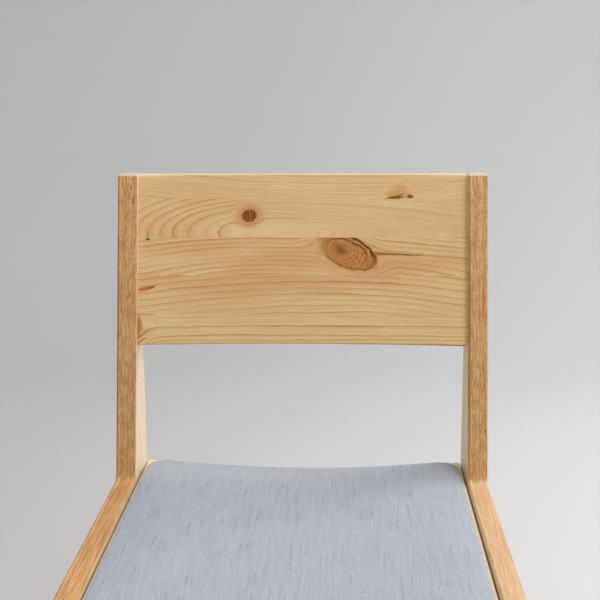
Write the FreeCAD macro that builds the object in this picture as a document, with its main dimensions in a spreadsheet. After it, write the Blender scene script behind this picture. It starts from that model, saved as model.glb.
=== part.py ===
"""Dining chair with plywood side panels, a glued pine backrest and an upholstered seat.

The frame of the part is millimetres with +Z up. The origin is on the floor under the middle of the
chair's outline. The sitter looks towards -Y, and +X is on the right of someone who faces the chair.
"""
import FreeCAD, Part
import math
import os

import Sketcher

DIMENSIONS = {
    # The whole chair
    "overall_width": 450,
    "overall_depth": 500,
    "overall_height": 801.5,
    "rail_top": 440,
    # Side panels, each cut from one sheet of plywood
    "panel_thickness": 24,
    "post_run": 84,
    "post_top_depth": 29,
    "post_foot_depth": 88,
    "rail_depth": 80,
    "rear_leg_top_depth": 82,
    "rear_leg_foot_depth": 46,
    "front_leg_top_depth": 76,
    "front_leg_foot_depth": 42,
    "knee_radius": 260,
    "crook_radius": 36,
    "nose_radius": 22,
    "notch_radius": 4,
    "tip_radius": 3,
    "arris_radius": 2.5,
    # Backrest board, glued up from five staves
    "board_thickness": 21,
    "board_hollow": 10,
    "board_top_drop": 1,
    "board_top_recess": 8,
    "board_bottom_recess": 6.5,
    "board_drop": 203.5,
    "board_trim": 12,
    "cut_overrun": 5,
    "stave_2_top": 180.6,
    "stave_3_top": 133.4,
    "stave_4_top": 86.6,
    "stave_5_top": 38.8,
    # Seat board, hollowed from side to side
    "seat_hollow": 11,
    "seat_edge_drop": 5.3,
    "seat_side_gap": 1.5,
    "seat_front_setback": 12,
    "seat_board_thickness": 10,
    "seat_corner_radius": 5,
    "seat_arris_radius": 1.5,
    # Cross rails and cleats under the seat board
    "cross_rail_thickness": 24,
    "cross_rail_bottom": 363,
    "rear_rail_inset": 40,
    "front_rail_inset": 45,
    "bedding_gap": 0.3,
    "cleat_width": 20,
    "cleat_bottom": 392,
    "cleat_end_gap": 0.5,
    # Seat pad
    "pad_side_inset": 4,
    "pad_rear_inset": 13,
    "pad_front_inset": 7,
    "pad_corner_radius": 30,
    "pad_lift": 1.65,
    "pad_base_thickness": 4,
    "foam_thickness": 8,
    "foam_edge_radius": 6,
    "cover_thickness": 1,
    "cover_turn_under": 24,
    "staple_crown": 10,
    "staple_wire": 0.6,
    "staple_leg": 3.5,
    "staple_pitch": 44,
    # Fasteners
    "joint_clearance": 0.05,
    "dowel_diameter": 8,
    "dowel_length": 40,
    "dowel_in_panel": 15,
    "dowel_end_room": 1,
    "dowel_chamfer": 1,
    "rail_dowel_low": 381,
    "rail_dowel_high": 405,
    "screw_diameter": 4,
    "screw_head_diameter": 8,
    "screw_head_height": 2.4,
    "screw_tip_height": 5,
    "screw_point_diameter": 0.4,
    "cleat_screw_length": 35,
    "cleat_screw_height": 404,
    "cleat_screw_spacing": 130,
    "seat_screw_length": 30,
    "seat_screw_sink": 0.6,
    "rail_screw_spacing": 130,
    "cleat_seat_screw_spacing": 65,
    "bolt_diameter": 5,
    "bolt_length": 15,
    "bolt_head_diameter": 9.5,
    "bolt_head_height": 3,
    "bolt_head_gap": 0.4,
    "bolt_clearance": 0.25,
    "bolt_spacing_across": 110,
    "bolt_spacing_along": 120,
    "tee_nut_flange_diameter": 15,
    "tee_nut_flange_height": 1,
    "tee_nut_barrel_diameter": 7.2,
    "tee_nut_barrel_length": 2,
    "tee_nut_sink": 0.5,
    # Nail-on glides under the legs
    "glide_diameter": 18,
    "glide_height": 5,
    "glide_edge_radius": 1.5,
    "nail_diameter": 2,
    "nail_length": 16,
    "nail_head_diameter": 6,
    "nail_head_height": 1.2,
    "nail_head_below_leg": 1.5,
}

doc = FreeCAD.newDocument("dining_chair")
sheet = doc.addObject("Spreadsheet::Sheet", "Dims")
for row, (alias, value) in enumerate(DIMENSIONS.items(), start=1):
    sheet.set(f"A{row}", alias)
    sheet.set(f"B{row}", str(value))
    sheet.setAlias(f"B{row}", alias)
doc.recompute()

# Places that several pieces share, as expressions on the sheet
HALF_WIDTH = "Dims.overall_width / 2"
INNER = "(Dims.overall_width / 2 - Dims.panel_thickness)"
FRONT = "(-Dims.overall_depth / 2)"
BACK = "(Dims.overall_depth / 2)"
POST_FOOT = "(Dims.overall_depth / 2 - Dims.post_run - Dims.post_top_depth)"
REAR_EDGE = f"({POST_FOOT} + Dims.post_foot_depth)"
POST_RISE = "(Dims.overall_height - Dims.rail_top)"
POST_SLOPE = f"(Dims.post_run / {POST_RISE})"
KNEE = f"(Dims.rail_top + (Dims.post_foot_depth - Dims.post_top_depth) / {POST_SLOPE})"
RAIL_UNDERSIDE = "(Dims.rail_top - Dims.rail_depth)"

# The backrest board's lower front edge, and how far the board leans back
BOARD_TOP = "(Dims.overall_height - Dims.board_top_drop)"
BOARD_BOTTOM = f"({BOARD_TOP} - Dims.board_drop)"
BOARD_BOTTOM_Y = (f"({POST_FOOT} + ({BOARD_BOTTOM} - Dims.rail_top) * {POST_SLOPE}"
                  " + Dims.board_bottom_recess)")
BOARD_TOP_Y = (f"({POST_FOOT} + ({BOARD_TOP} - Dims.rail_top) * {POST_SLOPE}"
               " + Dims.board_top_recess)")
BOARD_LEAN = f"atan(({BOARD_TOP_Y} - {BOARD_BOTTOM_Y}) / Dims.board_drop)"
BOARD_LENGTH = f"(Dims.board_drop / cos({BOARD_LEAN}))"
LEVEL_CUT_RISE = f"(Dims.board_thickness * tan({BOARD_LEAN}))"

# The hollow of the seat is part of a cylinder that lies along Y; depths count down from its surface
SEAT_HALF = f"({INNER} - Dims.seat_side_gap)"
SEAT_RADIUS = f"(({SEAT_HALF}^2 + Dims.seat_hollow^2) / (2 * Dims.seat_hollow))"
SEAT_AXIS = f"(Dims.rail_top - Dims.seat_edge_drop - Dims.seat_hollow + {SEAT_RADIUS})"
SEAT_REAR = REAR_EDGE
SEAT_LENGTH = f"({REAR_EDGE} - {FRONT} - Dims.seat_front_setback)"
BEDDING = "(Dims.seat_board_thickness + Dims.bedding_gap)"

REAR_RAIL_BACK = f"({REAR_EDGE} - Dims.rear_rail_inset)"
FRONT_RAIL_BACK = f"({FRONT} + Dims.front_rail_inset + Dims.cross_rail_thickness)"
REAR_RAIL_MIDDLE = f"({REAR_RAIL_BACK} - Dims.cross_rail_thickness / 2)"
FRONT_RAIL_MIDDLE = f"({FRONT_RAIL_BACK} - Dims.cross_rail_thickness / 2)"
CLEAT_BACK = f"({REAR_RAIL_BACK} - Dims.cross_rail_thickness - Dims.cleat_end_gap)"
CLEAT_LENGTH = f"({CLEAT_BACK} - {FRONT_RAIL_BACK} - Dims.cleat_end_gap)"
CLEAT_MIDDLE = f"({CLEAT_BACK} - {CLEAT_LENGTH} / 2)"

PAD_HALF = f"({SEAT_HALF} - Dims.pad_side_inset)"
PAD_REAR = f"({SEAT_REAR} - Dims.pad_rear_inset)"
PAD_LENGTH = f"({SEAT_LENGTH} - Dims.pad_rear_inset - Dims.pad_front_inset)"
PAD_MIDDLE = f"({PAD_REAR} - {PAD_LENGTH} / 2)"
BASE_TOP = "(Dims.pad_lift + Dims.pad_base_thickness)"
FOAM_TOP = f"({BASE_TOP} + Dims.foam_thickness)"

# Room round a fastener in its hole, and round a bolt that only passes through
ROOM = "Dims.joint_clearance"
BOLT_ROOM = "Dims.bolt_clearance"

TURNS = {
    "+Z": FreeCAD.Rotation(),
    "-Z": FreeCAD.Rotation(FreeCAD.Vector(1, 0, 0), 180),
    "+X": FreeCAD.Rotation(FreeCAD.Vector(0, 1, 0), 90),
    "-X": FreeCAD.Rotation(FreeCAD.Vector(0, 1, 0), -90),
}
SAME_PLACE = 0.01
"""Millimetres within which two places are the same."""
PARALLEL = 0.999
"""The least cosine between two directions that are the same."""
sub_parts = []


def number(expression):
    """The value of an expression on the sheet."""
    return float(sheet.evalExpression(expression))


def seat_surface(x, depth="0"):
    """Height of the seat's hollow at x, a depth below the seat board's top."""
    return f"({SEAT_AXIS} - sqrt(({SEAT_RADIUS} + ({depth}))^2 - ({x})^2))"


def along(at, direction, distance):
    """The point a distance from another along a direction such as +X."""
    sign, axis = direction
    return tuple(f"{place} {sign} ({distance})" if name == axis.lower() else place
                 for name, place in zip("xyz", at))


# ---------------------------------------------------------------- bodies, sketches and features

def new_body(name):
    return doc.addObject("PartDesign::Body", name)


def new_sketch(body, name, plane, offset="0"):
    """A sketch on one of the body's own origin planes, moved along that plane's normal."""
    sketch = body.newObject("Sketcher::SketchObject", name)
    origin_plane = next(item for item in body.Origin.OriginFeatures if item.Role == plane)
    sketch.AttachmentSupport = (origin_plane, [""])
    sketch.MapMode = "FlatFace"
    sketch.setExpression("AttachmentOffset.Base.z", offset)
    return sketch


def constrain(sketch, expression, kind, *where):
    """Add a dimension that follows an expression."""
    index = sketch.addConstraint(Sketcher.Constraint(kind, *where, number(expression)))
    sketch.setExpression(f"Constraints[{index}]", expression)


def draw_outline(sketch, corners):
    """A closed run of straight lines through corners given as pairs of expressions."""
    points = [FreeCAD.Vector(number(u), number(v), 0) for u, v in corners]
    for start, end in zip(points, points[1:] + points[:1]):
        sketch.addGeometry(Part.LineSegment(start, end))
    for index, (u, v) in enumerate(corners):
        following = (index + 1) % len(corners)
        sketch.addConstraint(Sketcher.Constraint("Coincident", index, 2, following, 1))
        constrain(sketch, u, "DistanceX", -1, 1, index, 1)
        constrain(sketch, v, "DistanceY", -1, 1, index, 1)


def dish_arc(radius, left, right):
    """The part of the seat's hollow between two x places, from left to right."""
    circle = Part.Circle(FreeCAD.Vector(0, number(SEAT_AXIS), 0), FreeCAD.Vector(0, 0, 1), radius)
    start, end = (math.asin(number(x) / radius) - math.pi / 2 for x in (left, right))
    return Part.ArcOfCircle(circle, start, end)


def draw_dished_section(sketch, left, right, top, bottom=None, flat_bottom=None):
    """A section with a hollow top edge, plumb sides, and a hollow or a flat bottom edge."""
    upper = f"{SEAT_RADIUS} + ({top})"
    corners = [(x, seat_surface(x, top)) for x in (left, right)]
    if flat_bottom:
        feet = [(x, flat_bottom) for x in (left, right)]
    else:
        feet = [(x, seat_surface(x, bottom)) for x in (left, right)]
    upper_left, upper_right, lower_left, lower_right = (
        FreeCAD.Vector(number(u), number(v), 0) for u, v in corners + feet)
    sketch.addGeometry(dish_arc(number(upper), left, right))
    sketch.addGeometry(Part.LineSegment(upper_right, lower_right))
    sketch.addGeometry(Part.LineSegment(lower_left, upper_left))
    if flat_bottom:
        sketch.addGeometry(Part.LineSegment(lower_left, lower_right))
    else:
        sketch.addGeometry(dish_arc(number(f"{SEAT_RADIUS} + ({bottom})"), left, right))
    for first, second in (((0, 2), (1, 1)), ((1, 2), (3, 2)), ((3, 1), (2, 1)), ((2, 2), (0, 1))):
        sketch.addConstraint(Sketcher.Constraint("Coincident", *first, *second))
    sketch.addConstraint(Sketcher.Constraint("Vertical", 1))
    sketch.addConstraint(Sketcher.Constraint("Vertical", 2))
    sketch.addConstraint(Sketcher.Constraint("PointOnObject", 0, 3, -2))
    constrain(sketch, SEAT_AXIS, "DistanceY", -1, 1, 0, 3)
    constrain(sketch, upper, "Radius", 0)
    constrain(sketch, right, "DistanceX", -1, 1, 1, 1)
    constrain(sketch, left, "DistanceX", -1, 1, 2, 1)
    if flat_bottom:
        sketch.addConstraint(Sketcher.Constraint("Horizontal", 3))
        constrain(sketch, flat_bottom, "DistanceY", -1, 1, 3, 1)
    else:
        sketch.addConstraint(Sketcher.Constraint("Coincident", 3, 3, 0, 3))
        constrain(sketch, f"{SEAT_RADIUS} + ({bottom})", "Radius", 3)


def pad(body, sketch, length):
    feature = body.newObject("PartDesign::Pad", sketch.Name + "_pad")
    feature.Profile = sketch
    feature.setExpression("Length", length)
    doc.recompute()
    return feature


def fillet(body, base, edges, radius, name):
    """Round some edges, given by name."""
    feature = body.newObject("PartDesign::Fillet", name)
    feature.Base = (base, edges)
    feature.setExpression("Radius", radius)
    doc.recompute()
    return feature


def edge_names(shape, wanted):
    """Names of the edges that a test picks."""
    return [f"Edge{index}" for index, edge in enumerate(shape.Edges, start=1) if wanted(edge)]


def runs_along(edge, axis):
    """True for a straight edge along an axis."""
    if not isinstance(edge.Curve, Part.Line):
        return False
    return abs(edge.Curve.Direction.dot(axis)) > PARALLEL


def edges_of_faces(shape, normal):
    """Names of all the edges round the flat faces that look along plus or minus a normal."""
    flat = [face for face in shape.Faces if isinstance(face.Surface, Part.Plane)]
    rims = [edge for face in flat if abs(face.normalAt(0, 0).dot(normal)) > PARALLEL
            for edge in face.Edges]
    return edge_names(shape, lambda edge: any(edge.isSame(rim) for rim in rims))


# ---------------------------------------------------------------- primitives and booleans

def position(solid, at, direction="+Z"):
    """Put a primitive's own origin at a point and turn its own +Z to a direction."""
    solid.Placement = FreeCAD.Placement(FreeCAD.Vector(), TURNS[direction])
    for axis, expression in zip("xyz", at):
        solid.setExpression("Placement.Base." + axis, expression)
    return solid


def cylinder(name, diameter, length, at, direction="+Z"):
    solid = doc.addObject("Part::Cylinder", name)
    solid.setExpression("Radius", f"({diameter}) / 2")
    solid.setExpression("Height", length)
    return position(solid, at, direction)


def cone(name, start_diameter, end_diameter, length, at, direction="+Z"):
    solid = doc.addObject("Part::Cone", name)
    solid.setExpression("Radius1", f"({start_diameter}) / 2")
    solid.setExpression("Radius2", f"({end_diameter}) / 2")
    solid.setExpression("Height", length)
    return position(solid, at, direction)


def fuse(name, solids):
    if len(solids) == 1:
        return solids[0]
    fused = doc.addObject("Part::MultiFuse", name)
    fused.Shapes = solids
    return fused


def drilled(name, blank, bores):
    """A sub-part: a blank with every bore taken out of it."""
    part = doc.addObject("Part::Cut", name)
    part.Base = blank
    part.Tool = fuse(name + "_bores", bores)
    return keep(part, name)


def group(name, solids):
    """A sub-part made of identical loose pieces."""
    part = doc.addObject("Part::Compound", name)
    part.Links = solids
    return keep(part, name)


def keep(part, name):
    part.Label = name
    sub_parts.append(part)
    return part


# ---------------------------------------------------------------- fasteners and the holes for them

def dowel(name, at, direction):
    """A chamfered dowel that starts inside a panel and points into the cross piece."""
    start = along(at, direction, "-Dims.dowel_in_panel")
    rod = cylinder(name + "_rod", "Dims.dowel_diameter", "Dims.dowel_length", start, direction)
    doc.recompute()
    ends = [index for index, edge in enumerate(rod.Shape.Edges, start=1)
            if isinstance(edge.Curve, Part.Circle)]
    solid = doc.addObject("Part::Chamfer", name)
    solid.Base = rod
    size = number("Dims.dowel_chamfer")
    solid.Edges = [(index, size, size) for index in ends]
    return solid


def dowel_bore(name, at, direction):
    """The hole for a dowel, a little longer than it at both ends."""
    start = along(at, direction, "-Dims.dowel_in_panel - Dims.dowel_end_room")
    return cylinder(name, "Dims.dowel_diameter + 2 * Dims.joint_clearance",
                    "Dims.dowel_length + 2 * Dims.dowel_end_room", start, direction)


def screw(name, at, direction, length, room="0"):
    """A countersunk wood screw from its head's flat face; room is added all round for its hole."""
    head = "Dims.screw_head_height"
    shank = f"{length} - {head} - Dims.screw_tip_height"
    thick = f"Dims.screw_diameter + 2 * ({room})"
    pieces = [
        cone(name + "_head", f"Dims.screw_head_diameter + 2 * ({room})", thick, head, at, direction),
        cylinder(name + "_shank", thick, shank, along(at, direction, head), direction),
        cone(name + "_tip", thick, f"Dims.screw_point_diameter + 2 * ({room})",
             f"Dims.screw_tip_height + ({room})", along(at, direction, f"{head} + {shank}"), direction),
    ]
    return fuse(name, pieces)


def bolt(name, x, y, room="0"):
    """A pan-head bolt that points up from under the seat board."""
    seat = (x, y, f"{seat_surface(x, 'Dims.seat_board_thickness')} - Dims.bolt_head_gap")
    shank = cylinder(name + "_shank", f"Dims.bolt_diameter + 2 * ({room})", "Dims.bolt_length", seat)
    if room != "0":
        return shank
    head = cylinder(name + "_head", "Dims.bolt_head_diameter", "Dims.bolt_head_height", seat, "-Z")
    return fuse(name, [shank, head])


def tee_nut_seat(x, y):
    """The underside of a tee nut's flange."""
    sunk = "Dims.tee_nut_sink + Dims.tee_nut_flange_height"
    return (x, y, f"{seat_surface(x, '-' + BASE_TOP)} - ({sunk})")


def tee_nut(name, x, y):
    """A tee nut let into the top of the pad's base board."""
    seat = tee_nut_seat(x, y)
    flange = cylinder(name + "_flange", "Dims.tee_nut_flange_diameter", "Dims.tee_nut_flange_height",
                      seat)
    barrel = cylinder(name + "_barrel", "Dims.tee_nut_barrel_diameter",
                      "Dims.tee_nut_barrel_length", seat, "-Z")
    return fuse(name + "_body", [flange, barrel])


def tee_nut_bore(name, x, y):
    """The counterbored hole for a tee nut, open at the top of the base board."""
    seat = tee_nut_seat(x, y)
    open_height = "Dims.tee_nut_flange_height + 2 * Dims.tee_nut_sink"
    counterbore = cylinder(name + "_counterbore", f"Dims.tee_nut_flange_diameter + 2 * {ROOM}",
                           open_height, seat)
    bore = cylinder(name + "_bore", f"Dims.tee_nut_barrel_diameter + 2 * {ROOM}",
                    f"Dims.tee_nut_barrel_length + {ROOM}", seat, "-Z")
    return fuse(name, [counterbore, bore])


def nail(name, x, y, room="0"):
    """A glide's nail: its head is inside the glide and its shank points up into the leg."""
    seat = (x, y, "Dims.glide_height - Dims.nail_head_below_leg")
    head = cylinder(name + "_head", f"Dims.nail_head_diameter + 2 * ({room})",
                    f"Dims.nail_head_height + ({room})", along(seat, "+Z", room), "-Z")
    shank = cylinder(name + "_shank", f"Dims.nail_diameter + 2 * ({room})",
                     f"Dims.nail_length + ({room})", seat)
    return fuse(name, [head, shank])


# ---------------------------------------------------------------- where the fasteners are

SIDES = {"left": ("-", "-X"), "right": ("", "+X")}


def board_point(up, back):
    """A point of the backrest board, from lengths up its slope and back through its thickness."""
    y = f"{BOARD_BOTTOM_Y} + ({up}) * sin({BOARD_LEAN}) + ({back}) * cos({BOARD_LEAN})"
    z = f"{BOARD_BOTTOM} + ({up}) * cos({BOARD_LEAN}) - ({back}) * sin({BOARD_LEAN})"
    return f"({y})", f"({z})"


STAVE_TOPS = [f"({BOARD_LENGTH} + Dims.board_trim)", "Dims.stave_2_top", "Dims.stave_3_top",
              "Dims.stave_4_top", "Dims.stave_5_top"]
STAVE_FEET = STAVE_TOPS[1:] + ["0"]
DOWELLED_STAVES = (2, 3, 4)


def backrest_dowel_places(side, staves=DOWELLED_STAVES):
    sign, _ = SIDES[side]
    middle_of_thickness = "Dims.board_thickness / 2"
    for stave in staves:
        up = f"({STAVE_TOPS[stave - 1]} + {STAVE_FEET[stave - 1]}) / 2"
        yield (f"{sign}{INNER}", *board_point(up, middle_of_thickness))


def rail_dowel_places(side, middle):
    sign, _ = SIDES[side]
    for height in ("Dims.rail_dowel_low", "Dims.rail_dowel_high"):
        yield (f"{sign}{INNER}", middle, height)


def cleat_screw_places(side):
    sign, _ = SIDES[side]
    for step in (-1, 0, 1):
        yield (f"{sign}({INNER} - Dims.cleat_width)",
               f"({CLEAT_MIDDLE} + {step} * Dims.cleat_screw_spacing)", "Dims.cleat_screw_height")


def seat_screw_at(x, y):
    return (x, y, f"{seat_surface(x)} - Dims.seat_screw_sink")


def rail_seat_screws(middle):
    return [seat_screw_at(f"{step} * Dims.rail_screw_spacing", middle) for step in (-1, 0, 1)]


def cleat_seat_screws(side):
    sign, _ = SIDES[side]
    x = f"{sign}({INNER} - Dims.cleat_width / 2)"
    return [seat_screw_at(x, f"({CLEAT_MIDDLE} + {step} * Dims.cleat_seat_screw_spacing)")
            for step in (-1, 1)]


def bolt_places():
    for across in (-1, 1):
        for lengthwise in (-1, 1):
            yield (f"{across} * Dims.bolt_spacing_across",
                   f"({PAD_MIDDLE} + {lengthwise} * Dims.bolt_spacing_along)")


def glide_places():
    for side, (sign, _) in SIDES.items():
        x = f"{sign}({HALF_WIDTH} - Dims.panel_thickness / 2)"
        yield f"front_{side}", x, f"({FRONT} + Dims.front_leg_foot_depth / 2)"
        yield f"rear_{side}", x, f"({REAR_EDGE} - Dims.rear_leg_foot_depth / 2)"


def inward(side):
    return {"left": "+X", "right": "-X"}[side]


# ---------------------------------------------------------------- side panels

def side_panel_corners():
    """The panel's corners in the YZ plane, each with the sheet's radius that rounds it."""
    return [
        (REAR_EDGE, "Dims.glide_height", "Dims.tip_radius"),
        (REAR_EDGE, KNEE, "Dims.knee_radius"),
        (BACK, "Dims.overall_height", "Dims.tip_radius"),
        (f"{BACK} - Dims.post_top_depth", "Dims.overall_height", "Dims.tip_radius"),
        (POST_FOOT, "Dims.rail_top", "Dims.notch_radius"),
        (FRONT, "Dims.rail_top", "Dims.nose_radius"),
        (FRONT, "Dims.glide_height", "Dims.tip_radius"),
        (f"{FRONT} + Dims.front_leg_foot_depth", "Dims.glide_height", "Dims.tip_radius"),
        (f"{FRONT} + Dims.front_leg_top_depth", RAIL_UNDERSIDE, "Dims.crook_radius"),
        (f"{REAR_EDGE} - Dims.rear_leg_top_depth", RAIL_UNDERSIDE, "Dims.crook_radius"),
        (f"{REAR_EDGE} - Dims.rear_leg_foot_depth", "Dims.glide_height", "Dims.tip_radius"),
    ]


def make_side_panel(side):
    name = f"side_panel_{side}"
    sign, outward = SIDES[side]
    body = new_body(name + "_blank")
    plane = f"-{HALF_WIDTH}" if side == "left" else INNER
    sketch = new_sketch(body, name + "_outline", "YZ_Plane", plane)
    corners = side_panel_corners()
    draw_outline(sketch, [(y, z) for y, z, _ in corners])
    feature = pad(body, sketch, "Dims.panel_thickness")
    for index, (y, z, radius) in enumerate(corners, start=1):
        corner_y, corner_z = number(y), number(z)

        def at_corner(edge):
            start = edge.Vertexes[0].Point
            near = math.hypot(start.y - corner_y, start.z - corner_z) < SAME_PLACE
            return runs_along(edge, FreeCAD.Vector(1, 0, 0)) and near

        feature = fillet(body, feature, edge_names(feature.Shape, at_corner), radius,
                         f"{name}_corner_{index}")
    rims = edges_of_faces(feature.Shape, FreeCAD.Vector(1, 0, 0))
    fillet(body, feature, rims, "Dims.arris_radius", name + "_arris")

    dowels = [*backrest_dowel_places(side), *rail_dowel_places(side, REAR_RAIL_MIDDLE),
              *rail_dowel_places(side, FRONT_RAIL_MIDDLE)]
    bores = [dowel_bore(f"{name}_dowel_bore_{index}", at, inward(side))
             for index, at in enumerate(dowels, start=1)]
    bores += [screw(f"{name}_screw_bore_{index}", at, outward, "Dims.cleat_screw_length", ROOM)
              for index, at in enumerate(cleat_screw_places(side), start=1)]
    bores += [nail(f"{name}_nail_bore_{glide}", x, y, ROOM)
              for glide, x, y in glide_places() if glide.endswith(side)]
    drilled(name, body, bores)


# ---------------------------------------------------------------- backrest

def draw_stave_section(sketch):
    """The board's plan: flat behind and hollow in front."""
    half, hollow = number(INNER), number("Dims.board_hollow")
    thickness = number("Dims.board_thickness")
    front_left, front_right = FreeCAD.Vector(-half, 0, 0), FreeCAD.Vector(half, 0, 0)
    back_left, back_right = (FreeCAD.Vector(x, thickness, 0) for x in (-half, half))
    sketch.addGeometry(Part.Arc(front_right, FreeCAD.Vector(0, hollow, 0), front_left))
    sketch.addGeometry(Part.LineSegment(front_left, back_left))
    sketch.addGeometry(Part.LineSegment(back_left, back_right))
    sketch.addGeometry(Part.LineSegment(back_right, front_right))
    for first, second in (((0, 2), (1, 1)), ((1, 2), (2, 1)), ((2, 2), (3, 1)), ((3, 2), (0, 1))):
        sketch.addConstraint(Sketcher.Constraint("Coincident", *first, *second))
    sketch.addConstraint(Sketcher.Constraint("Vertical", 1))
    sketch.addConstraint(Sketcher.Constraint("Horizontal", 2))
    sketch.addConstraint(Sketcher.Constraint("PointOnObject", 0, 1, -1))
    sketch.addConstraint(Sketcher.Constraint("PointOnObject", 0, 2, -1))
    constrain(sketch, f"-{INNER}", "DistanceX", -1, 1, 1, 1)
    constrain(sketch, INNER, "DistanceX", -1, 1, 3, 2)
    constrain(sketch, "Dims.board_thickness", "DistanceY", -1, 1, 2, 1)
    constrain(sketch, f"({INNER}^2 + Dims.board_hollow^2) / (2 * Dims.board_hollow)", "Radius", 0)


def trim_level(body, feature, end, height, beyond):
    """Cut one end of the upright board level with the floor it will have once it leans back."""
    before, behind = "(-Dims.cut_overrun)", "(Dims.board_thickness + Dims.cut_overrun)"
    sketch = new_sketch(body, f"board_{end}_trim", "YZ_Plane", f"-{INNER} - Dims.cut_overrun")
    draw_outline(sketch, [
        (before, f"{height} + {before} * tan({BOARD_LEAN})"),
        (behind, f"{height} + {behind} * tan({BOARD_LEAN})"),
        (behind, beyond),
        (before, beyond),
    ])
    trimmed = body.newObject("PartDesign::Pocket", f"board_{end}_trim_pocket")
    trimmed.Profile = sketch
    trimmed.Reversed = True
    trimmed.setExpression("Length", f"2 * ({INNER} + Dims.cut_overrun)")
    doc.recompute()
    if trimmed.Shape.Volume >= feature.Shape.Volume:
        raise RuntimeError(f"the level trim of the board's {end} cut nothing")
    return round_end(body, trimmed, end, height)


def round_end(body, feature, end, height):
    """Round the long front and back edges of a level end of the board."""
    lowest = number(height) - SAME_PLACE
    highest = number(f"{height} + {LEVEL_CUT_RISE}") + SAME_PLACE

    def along_the_end(edge):
        at_end = all(lowest < vertex.Z < highest for vertex in edge.Vertexes)
        return at_end and edge.Length > number(INNER)

    return fillet(body, feature, edge_names(feature.Shape, along_the_end), "Dims.arris_radius",
                  f"board_{end}_rounding")


def lean_back(body):
    """Stand a body that was modelled upright at the board's foot, at the board's lean."""
    body.Placement.Rotation = FreeCAD.Rotation(FreeCAD.Vector(-1, 0, 0), number(BOARD_LEAN))
    body.setExpression("Placement.Base.y", BOARD_BOTTOM_Y)
    body.setExpression("Placement.Base.z", BOARD_BOTTOM)
    body.setExpression("Placement.Rotation.Angle", BOARD_LEAN)
    doc.recompute()


def make_stave(number_from_top):
    name = f"backrest_stave_{number_from_top}"
    top, foot = STAVE_TOPS[number_from_top - 1], STAVE_FEET[number_from_top - 1]
    body = new_body(name + "_blank")
    sketch = new_sketch(body, name + "_section", "XY_Plane", foot)
    draw_stave_section(sketch)
    feature = pad(body, sketch, f"{top} - {foot}")
    if number_from_top == 1:
        trim_level(body, feature, "top", BOARD_LENGTH, f"({BOARD_LENGTH} + 2 * Dims.board_trim)")
    if number_from_top == len(STAVE_TOPS):
        trim_level(body, feature, "bottom", "0", "(-2 * Dims.board_trim)")
    lean_back(body)
    if number_from_top not in DOWELLED_STAVES:
        keep(body, name)
        return
    drilled(name, body, [dowel_bore(f"{name}_bore_{side}", at, inward(side)) for side in SIDES
                         for at in backrest_dowel_places(side, (number_from_top,))])


# ---------------------------------------------------------------- seat frame and seat board

def dished_slab(name, half_or_pair, back, length, top, bottom=None, flat_bottom=None):
    """A body that follows the seat's hollow, from its back face forwards."""
    left, right = half_or_pair
    body = new_body(name)
    sketch = new_sketch(body, name + "_section", "XZ_Plane", f"-{back}")
    draw_dished_section(sketch, left, right, top, bottom, flat_bottom)
    return body, pad(body, sketch, length)


def round_plan_corners(body, feature, radius, name):
    corners = edge_names(feature.Shape, lambda edge: runs_along(edge, FreeCAD.Vector(0, 0, 1)))
    return fillet(body, feature, corners, radius, name)


def round_top_rim(body, feature, top, radius, name):
    """Round the whole rim of a dished slab's upper surface."""
    target = number(f"{SEAT_RADIUS} + ({top})")

    def on_top(edge):
        middle = edge.valueAt((edge.FirstParameter + edge.LastParameter) / 2)
        return abs(math.hypot(middle.x, middle.z - number(SEAT_AXIS)) - target) < SAME_PLACE

    return fillet(body, feature, edge_names(feature.Shape, on_top), radius, name)


def make_cross_rail(name, back, middle):
    body, _ = dished_slab(name + "_blank", (f"-{INNER}", INNER), back, "Dims.cross_rail_thickness",
                          BEDDING, flat_bottom="Dims.cross_rail_bottom")
    bores = [dowel_bore(f"{name}_bore_{side}_{index}", at, inward(side))
             for side in SIDES for index, at in enumerate(rail_dowel_places(side, middle), start=1)]
    bores += [screw(f"{name}_screw_bore_{index}", at, "-Z", "Dims.seat_screw_length", ROOM)
              for index, at in enumerate(rail_seat_screws(middle), start=1)]
    drilled(name, body, bores)


def make_cleat(side):
    name = f"seat_cleat_{side}"
    _, outward = SIDES[side]
    inner_face = f"({INNER} - Dims.cleat_width)"
    span = (f"-{INNER}", f"-{inner_face}") if side == "left" else (inner_face, INNER)
    body, _ = dished_slab(name + "_blank", span, CLEAT_BACK, CLEAT_LENGTH, BEDDING,
                          flat_bottom="Dims.cleat_bottom")
    bores = [screw(f"{name}_bore_{index}", at, outward, "Dims.cleat_screw_length", ROOM)
             for index, at in enumerate(cleat_screw_places(side), start=1)]
    bores += [screw(f"{name}_seat_bore_{index}", at, "-Z", "Dims.seat_screw_length", ROOM)
              for index, at in enumerate(cleat_seat_screws(side), start=1)]
    drilled(name, body, bores)


def all_seat_screws():
    return [*rail_seat_screws(FRONT_RAIL_MIDDLE), *rail_seat_screws(REAR_RAIL_MIDDLE),
            *cleat_seat_screws("left"), *cleat_seat_screws("right")]


def make_seat_board():
    body, feature = dished_slab("seat_board_blank", (f"-{SEAT_HALF}", SEAT_HALF), SEAT_REAR,
                                SEAT_LENGTH, "0", "Dims.seat_board_thickness")
    feature = round_plan_corners(body, feature, "Dims.seat_corner_radius", "seat_board_corners")
    round_top_rim(body, feature, "0", "Dims.seat_arris_radius", "seat_board_rim")
    bores = [screw(f"seat_board_screw_bore_{index}", along(at, "+Z", "Dims.seat_screw_sink"), "-Z",
                   "Dims.seat_screw_length + Dims.seat_screw_sink", "Dims.seat_screw_sink")
             for index, at in enumerate(all_seat_screws(), start=1)]
    bores += [bolt(f"seat_board_bolt_bore_{index}", x, y, BOLT_ROOM)
              for index, (x, y) in enumerate(bolt_places(), start=1)]
    drilled("seat_board", body, bores)


# ---------------------------------------------------------------- seat pad

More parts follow.
